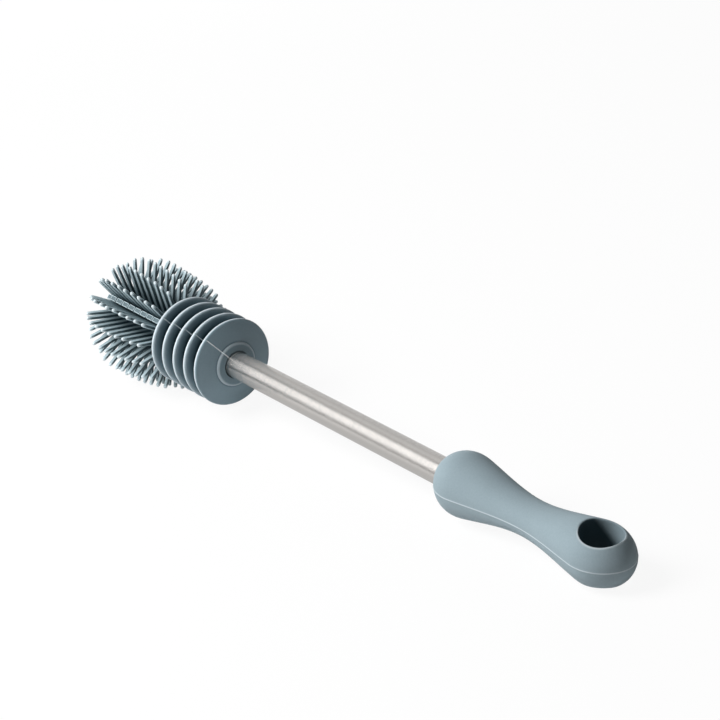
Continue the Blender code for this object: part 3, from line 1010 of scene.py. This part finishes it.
# What each piece multiplies the red, green and blue of the first two colours by
DISC_TONE = (0.83, 0.91, 0.97)
# The discs and bristles are one silicone; the bristles' tone is raised to make up for the painted shade
# laid over most of them
BRISTLE_TONE = (1.74, 1.70, 1.67)
GRIP_TONE = (1.02, 1.01, 1.02)
HEAD_ROUGHNESS = 0.4
GRIP_ROUGHNESS = 0.62
ROUGHNESS_DRIFT = 0.1
SILICONE_SHINE = 0.3
CLOUD_SCALE = 60.0
SPECKLE_SCALE = 1400.0
SPECKLE_SHARE = 0.8
GRAIN_SCALE = 2600.0
GRAIN_STRENGTH = 0.12
GRAIN_DEPTH = 0.1 * MM


def silicone(name, tone, roughness, painted_shade_masks, seam_and_highlight_masks):
    material, finish, shader = new_finish(name)
    place = finish.brush_place()
    measured = measures(finish, *finish.parts(place))
    cloud = finish.noise(place, CLOUD_SCALE, detail=3.0)
    speckle = finish.noise(place, SPECKLE_SCALE, detail=1.0)
    deep, pale = [
        (*(part * share for part, share in zip(colour, tone)), 1.0)
        for colour in (SILICONE_DEEP, SILICONE_PALE)
    ]
    colour = finish.blend(cloud + (speckle - 0.5) * SPECKLE_SHARE, deep, pale)
    # Painted shade first, then the pale seams and painted highlights, laid over the tone
    for masks, over in ((painted_shade_masks, SILICONE_PAINTED_SHADE), (seam_and_highlight_masks, SILICONE_SEAM_AND_HIGHLIGHT)):
        for mask in masks:
            colour = finish.blend(mask_share(finish, measured, mask), colour, over)
    grain = finish.noise(place, GRAIN_SCALE, detail=1.0)
    finish.fill(shader, {
        "Base Color": colour,
        "Roughness": roughness + (cloud - 0.5) * ROUGHNESS_DRIFT,
        "Normal": finish.bump(grain, GRAIN_STRENGTH, GRAIN_DEPTH),
        "Specular IOR Level": SILICONE_SHINE,
    })
    return material


# %% [markdown]
# Each mask could be a function, but they all measure something, turn it into a level and multiply
# the levels. So a mask is a table. Each row names a measure and gives its stops, pairs of a value
# and the level there. A row with no stops takes the measure as it is.

# %% Measures and masks
# How dark the painted shade on the pegs' dished floors is
DISH_SHADE_SHARE = 0.78


def kept(finish, name):
    return finish.add("ShaderNodeAttribute", output=2, attribute_name=name)


def length(first, second):
    return (first * first + second * second).root()


def from_seam(angle, y, z):
    normal = seam_normal(angle)
    return (y * normal.y + z * normal.z).size()


def faces_along(finish):
    """How squarely a surface faces along the brush, to either end."""
    normal = finish.parts(finish.add("ShaderNodeTexCoord", output="Normal"))
    return (normal[0] * along.x + normal[2] * along.z).size()


def disc_gap(finish, y, z):
    """Painted shade between the discs: one part ends high on their flanks and the other lower down."""
    out = length(y, z)
    flank = finish.fade(out, DISC_RADIUS - 4 * MM, DISC_RADIUS - 1 * MM, 0.5, 0.0)
    return flank + finish.fade(out, HUB_RADIUS + 5.8 * MM, HUB_RADIUS + 7.8 * MM, 0.5, 0.0)


def measures(finish, x, y, z):
    """What a mask can measure, each as a function, so that only what is used adds nodes."""
    return {
        "along the axis": lambda: x,
        "from the axis": lambda: length(y, z),
        "from the hole": lambda: length(x - HOLE_X, y),
        # Directions across the hanging hole, for its painted shade and its painted highlight
        "to where a hook rubs": lambda: (x - HOLE_X) * 0.62 + y * 0.78 + z * 0.6,
        "to where a hook pulls": lambda: (x - HOLE_X) * 0.66 - y * 0.75,
        "from the grip's seam": lambda: from_seam(0.0, y, z),
        "from the discs' seam": lambda: from_seam(DISC_SEAM_ANGLE, y, z),
        "from a tip": lambda: kept(finish, TIP_ATTRIBUTE),
        "in a dish": lambda: DISH_SHADE_SHARE * kept(finish, DISH_ATTRIBUTE),
        "facing along": lambda: faces_along(finish),
        "in a gap": lambda: disc_gap(finish, y, z),
    }


def mask_share(finish, measured, mask):
    share = 1.0
    for measure, *stops in mask:
        value = measured[measure]()
        share = (finish.levels(value, stops) if stops else value) * share
    return share


# %% [markdown]
# The hanging hole's lip gets a painted highlight on one side, and its wall gets painted shade on the other
# side, most of all low down. The parting line's pale mark stays off the hole.

# %% The grip's finish
# Painted shade on the hole's wall, deepest on the side away from the key lamp and low down
HOLE_PAINTED_SHADE = (
    ("from the hole", (HOLE_RADIUS, 1.0), (HOLE_RADIUS + LIP / 2, 0.0)),
    ("to where a hook rubs", (3.6 * MM, 1.0), (6.8 * MM, 0.2)),
)
LIP_LEVELS = ((0, 0.0), (1 / 3, 0.35), (1 / 2, 0.35), (1, 0.0))
# Painted highlight along one side of the hole's lip
HOLE_LIP_HIGHLIGHT = (
    ("from the hole", *((HOLE_RADIUS + LIP * share, level) for share, level in LIP_LEVELS)),
    ("to where a hook pulls", (-0.4 * HOLE_RADIUS, 0.0), (0.2 * HOLE_RADIUS, 1.0)),
)
# The pale parting line: partly trimmed flash, partly a painted highlight
GRIP_LINE = (
    ("from the grip's seam", (SEAM_HALF_WIDTH, 0.4), (1.5 * SEAM_HALF_WIDTH, 0.0)),
    ("from the hole", (HOLE_RADIUS + 2 * LIP, 0.0), (HOLE_RADIUS + 3 * LIP, 1.0)),
)
wear(grip, silicone("silicone_grip", GRIP_TONE, GRIP_ROUGHNESS, [HOLE_PAINTED_SHADE], [GRIP_LINE, HOLE_LIP_HIGHLIGHT]))

# %% [markdown]
# The very tips of the fingers get a painted highlight. Their roots get painted shade, as do the sides that
# face the next finger of a row and the dished ends of the pegs. The open nose gets only a little of it.

# %% The bristle sleeve's finish
# Painted shade at the fingers' roots, on the sides that face along the row, and in the pegs' dishes
BRISTLE_PAINTED_SHADE = (
    (
        ("along the axis", (NOSE_X + 1 * MM, 0.2), (LAST_RING_X + 2 * MM, 1.0)),
        ("from a tip", (2 * MM, 0.0), (16 * MM, 0.85)),
    ),
    (("facing along", (0.4, 0.0), (0.9, 0.8)), ("from a tip", (1 * MM, 0.0), (3 * MM, 1.0))),
    (("in a dish",),),
)
# Painted highlight on the fingers' tips and the pegs' rims
FINGER_TIP_HIGHLIGHT = (("from a tip", (1 * MM, 0.56), (2 * MM, 0.0)),)
bristle_silicone = silicone(
    "silicone_bristles", BRISTLE_TONE, HEAD_ROUGHNESS, BRISTLE_PAINTED_SHADE, [FINGER_TIP_HIGHLIGHT]
)
wear(bristles, bristle_silicone)

# %% [markdown]
# The rims of the discs get a painted highlight, and their flanks a fainter one for a few millimetres. Down
# in the gaps lies painted shade. On the rear face the boss has painted shade inside its rounded edge, a
# painted highlight on that edge, and painted shade in the corner at its foot. The parting line is pale,
# partly as trimmed flash and partly as a painted highlight, and fades out over the rims.

# %% The disc sleeve's finish
BEFORE_FACE = ("along the axis", (-0.5 * MM, 1.0), (0.0, 0.0))
ON_FACE = ("along the axis", (0.0, 0.0), (1 * MM, 1.0))
# The radius from which the rims' painted highlight is brightest
RIM_HIGHLIGHT_RADIUS = DISC_RADIUS - 0.22 * MM
BOSS_INSIDE = BOSS_RADIUS - BOSS_CORNER
BOSS_FOOT = BOSS_RADIUS + 0.1 * MM
# Painted shade inside the boss's rounded edge and in the corner at its foot
COLLAR_SHADE_LEVELS = (
    (BOSS_INSIDE - BOSS_CORNER / 2, 0.25), (BOSS_INSIDE, 0.0), (BOSS_RADIUS, 0.0),
    (BOSS_FOOT, 0.3), (BOSS_FOOT + 0.1 * MM, 0.3), (BOSS_FOOT + 0.9 * MM, 0.0),
)
# Painted highlight on the boss's rounded edge
BOSS_EDGE_HIGHLIGHT_LEVELS = (
    (BOSS_INSIDE - 0.2 * BOSS_CORNER, 0.0), (BOSS_INSIDE + 0.5 * BOSS_CORNER, 0.3),
    (BOSS_RADIUS, 0.3), (BOSS_FOOT, 0.0),
)
# Painted shade down in the gaps between the discs and round the boss
DISC_PAINTED_SHADE = (
    (("in a gap",), BEFORE_FACE),
    (("from the axis", *COLLAR_SHADE_LEVELS), ON_FACE),
)
# Painted highlights on the flanks, the boss's edge and the rims, and the pale parting line, partly trimmed
# flash and partly painted highlight
DISC_SEAM_AND_HIGHLIGHTS = (
    (("from the axis", (DISC_RADIUS - 2.2 * MM, 0.0), (RIM_HIGHLIGHT_RADIUS, 0.22)), BEFORE_FACE),
    (("from the axis", *BOSS_EDGE_HIGHLIGHT_LEVELS), ON_FACE),
    (("from the axis", (RIM_HIGHLIGHT_RADIUS, 0.0), (DISC_RADIUS, 0.62)),),
    (
        ("from the discs' seam", (SEAM_HALF_WIDTH, 1.0), (1.3 * SEAM_HALF_WIDTH, 0.0)),
        ("from the axis", (DISC_RADIUS - 0.9 * MM, 1.0), (DISC_RADIUS - 0.3 * MM, 0.0)),
    ),
)
wear(discs, silicone("silicone_discs", DISC_TONE, HEAD_ROUGHNESS, DISC_PAINTED_SHADE, DISC_SEAM_AND_HIGHLIGHTS))

# %% [markdown]
# ## Steel and plastic
#
# The tube was polished by a belt while it turned, so very fine scratches run round it. They smear
# a reflection along the tube and leave it sharp across it. Anisotropy could do the same, but it
# needs a tangent, and a bump of noise that is squeezed along the axis shows it from the shape.
# The hidden cores are plain moulded plastic, and still get a grain of their own.

# %% Steel and plastic
STEEL = (0.815, 0.785, 0.755, 1.0)
PLASTIC = (0.25, 0.27, 0.28, 1.0)
PLASTIC_PALE = (0.30, 0.32, 0.33, 1.0)
SCRATCH_SCALE = 20000.0
SCRATCH_STRETCH = (1.0, 0.003, 0.003)
SCRATCH_DEPTH = 0.06 * MM
STEEL_ROUGHNESS = 0.02
SCRATCH_ROUGHNESS = 0.06
PLASTIC_ROUGHNESS = 0.4
PLASTIC_GRAIN_STRENGTH = 0.1
PLASTIC_GRAIN_DEPTH = 0.05 * MM


def polished_steel():
    material, finish, shader = new_finish("polished_steel")
    scratches = finish.noise(finish.brush_place(), SCRATCH_SCALE, detail=1.0, stretch=SCRATCH_STRETCH)
    finish.fill(shader, {
        "Base Color": STEEL,
        "Metallic": 1.0,
        "Roughness": STEEL_ROUGHNESS + scratches * SCRATCH_ROUGHNESS,
        "Normal": finish.bump(scratches, 1.0, SCRATCH_DEPTH),
    })
    return material


def core_plastic():
    material, finish, shader = new_finish("core_plastic")
    place = finish.brush_place()
    cloud = finish.noise(place, CLOUD_SCALE)
    grain = finish.noise(place, GRAIN_SCALE)
    finish.fill(shader, {
        "Base Color": finish.blend(cloud, PLASTIC, PLASTIC_PALE),
        "Roughness": PLASTIC_ROUGHNESS + cloud * ROUGHNESS_DRIFT,
        "Normal": finish.bump(grain, PLASTIC_GRAIN_STRENGTH, PLASTIC_GRAIN_DEPTH),
    })
    return material


wear(shaft, polished_steel())
plastic = core_plastic()
for name in ("head_core", "handle_core"):
    wear(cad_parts[name], plastic)

# %% [markdown]
# ## The camera
#
# The photograph fixes the camera. What is known from it is how the camera sees the brush: where
# the middle of the rearmost disc is, which way the axis points, and how far the brush is rolled
# about it. The camera could be placed by trial, but turning that view round gives it directly.

# %% Place the camera
PHOTO_SIZE = 720
FOCAL_PIXELS = 2348.9
SENSOR = 36.0
# As the camera sees them: x to its right, y up, z from the object towards it
DISC_SEEN = Vector((-56.85, -0.77, -1040.98)) * MM
AXIS_SEEN = Vector((0.6177, -0.3010, 0.7265)).normalized()
CAMERA_LOOKS_DOWN = math.radians(20)
BRUSH_ROLL = math.radians(8.25)


def seen_brush():
    """The brush's own axes, as the camera sees them."""
    up = Vector((0.0, math.cos(CAMERA_LOOKS_DOWN), math.sin(CAMERA_LOOKS_DOWN)))
    level = (up - AXIS_SEEN * up.dot(AXIS_SEEN)).normalized()
    top = level * math.cos(BRUSH_ROLL) + AXIS_SEEN.cross(level) * math.sin(BRUSH_ROLL)
    return stand(DISC_SEEN, AXIS_SEEN, top.cross(AXIS_SEEN), top)


camera_data = bpy.data.cameras.new("camera")
camera_data.sensor_width = SENSOR
camera_data.lens = FOCAL_PIXELS * SENSOR / PHOTO_SIZE
camera = add_object("camera", camera_data)
camera.matrix_world = BRUSH @ seen_brush().inverted()
bpy.context.scene.camera = camera
print(f"lens {camera_data.lens:.1f} mm, camera {[round(v, 3) for v in camera.matrix_world.translation]} m")

# %% [markdown]
# ## The table and the light
#
# The photograph has a pure white ground and soft light from the upper left. The table is white:
# the camera sees it mostly by its own glow, so it stays white, and the rest is lit, so it keeps a
# faint shadow. Reflections see it as grey, darker near the brush. The lamps are broad, like studio
# boxes, and reflections don't see them: what they see instead is set with the world below.

# %% The table
FLOOR_SIZE = 3.0
FLOOR_GLOW_SHARE = 0.9
FLOOR_GLOW = 1.02
TABLE_ROUGHNESS = 0.9
NEAR_SHINE = 0.5
FAR_SHINE = 0.76
SHINE_REACH = 130 * MM
FLOOR_COLOUR = (0.8, 0.8, 0.8, 1.0)
WHITE = (1.0, 1.0, 1.0, 1.0)


def white_table():
    material, finish, shader = new_finish("white_table")
    matt = {"Base Color": FLOOR_COLOUR, "Roughness": TABLE_ROUGHNESS, "Specular IOR Level": 0.0}
    finish.fill(shader, matt)
    seen, shone = finish.ray_kinds()
    lit = Wire(finish, material.node_tree.nodes["Principled BSDF"].outputs[0])
    from_brush = finish.parts(finish.add("ShaderNodeTexCoord", output="Object"))[1].size()
    # A painted shadow for reflections: the table's glow for glossy rays is darker near the brush
    shine = finish.fade(from_brush, 0.0, SHINE_REACH, NEAR_SHINE, FAR_SHINE)
    level = seen * FLOOR_GLOW + shone * shine
    glow = finish.add("ShaderNodeEmission", {"Color": WHITE, "Strength": level})
    share = (seen + shone) * FLOOR_GLOW_SHARE
    mixed = finish.add("ShaderNodeMixShader", {0: share, 1: lit, 2: glow})
    finish.fill(material.node_tree.nodes["Material Output"].inputs, {"Surface": mixed})
    return material


bm = bmesh.new()
bmesh.ops.create_grid(bm, x_segments=1, y_segments=1, size=FLOOR_SIZE)
table = add_object("table", new_mesh(bm, "table"))
wear(table, white_table())

# %% The lamps
LAMP_DISTANCE = 1.2
LIT_MIDDLE = Vector((40.0 * MM, 0.0, 0.0))


def add_lamp(name, round_left, above, size, level):
    """A square lamp, placed by its angle from the camera round to the left, and above the table.
    Level 1 lights a face that is turned to it so that its colour renders as it is written."""
    target = BRUSH @ LIT_MIDDLE
    to_camera = camera.matrix_world.translation - target
    heading = math.atan2(to_camera.y, to_camera.x) - math.radians(round_left)
    rise = math.radians(above)
    way = Vector((math.cos(heading) * math.cos(rise), math.sin(heading) * math.cos(rise), math.sin(rise)))
    data = bpy.data.lights.new(name, "AREA")
    data.shape = "SQUARE"
    data.size = size
    data.energy = level * math.pi**2 * LAMP_DISTANCE**2
    lamp = add_object(name, data)
    lamp.visible_glossy = False
    turned = way.to_track_quat("Z", "Y").to_matrix().to_4x4()
    lamp.matrix_world = Matrix.Translation(target + way * LAMP_DISTANCE) @ turned
    print(name, [round(value, 2) for value in lamp.matrix_world.translation])


add_lamp("key_lamp", round_left=85, above=46, size=0.7, level=1.4)
add_lamp("rim_lamp", round_left=180, above=8, size=0.7, level=0.4)

# %% [markdown]
# Polished steel shows what stands round it. Here that is a white panel over the camera, with a
# thin dark edge at the table and another overhead, and a paler grey behind. The world holds them
# for reflections alone, as bands by their angle round the brush's axis.

# %% The world
WORLD_LEVEL = 0.05
# Degrees round the axis, from level on the camera's side over the top, with the level seen there
RING_LEVELS = (
    (0, 0.76), (1, 0.08), (9, 0.08), (14, 0.66), (25, 1.13),
    (66, 1.13), (80, 0.36), (97, 0.64), (180, 0.4),
)
# A panel's extra light, and how much of it there is by the direction's part along the axis
PANEL_LEVELS = ((14, 0.0), (26, 0.5), (64, 0.5), (78, 0.0))
PANEL_ALONG = ((-0.5, 0.0), (-0.35, 1.0), (-0.15, 1.0), (0.05, 0.0))


def panel_light(finish):
    """What reflections see, by the direction's angle round the brush's axis and along it."""
    way = finish.add("ShaderNodeTexCoord", output="Generated")
    x, y, z = finish.parts(finish.on_brush(way))
    angle = z.maths("ARCTAN2", z, -1.0 * y)
    degrees = angle * math.degrees(1.0)
    panel = finish.levels(degrees, PANEL_LEVELS) * finish.levels(x, PANEL_ALONG)
    return finish.levels(degrees, RING_LEVELS) + panel


def studio_world():
    world = bpy.data.worlds.new("studio")
    world.use_nodes = True
    finish = Finish(world.node_tree)
    direct, shine = finish.ray_kinds()
    fill = (1 - direct) * (1 - shine) * WORLD_LEVEL
    level = direct + shine * panel_light(finish) + fill
    sky = finish.add("ShaderNodeBackground", {"Color": WHITE, "Strength": level})
    finish.fill(world.node_tree.nodes["World Output"].inputs, {"Surface": sky})
    bpy.context.scene.world = world


studio_world()

# %% [markdown]
# ## Close the lesson
#
# The view transform is Standard, so a colour comes out as it is written. The dressed brush keeps the
# imported size, but for the thin ridge at the grip's end.

# %% Close
bpy.context.scene.view_settings.view_transform = "Standard"
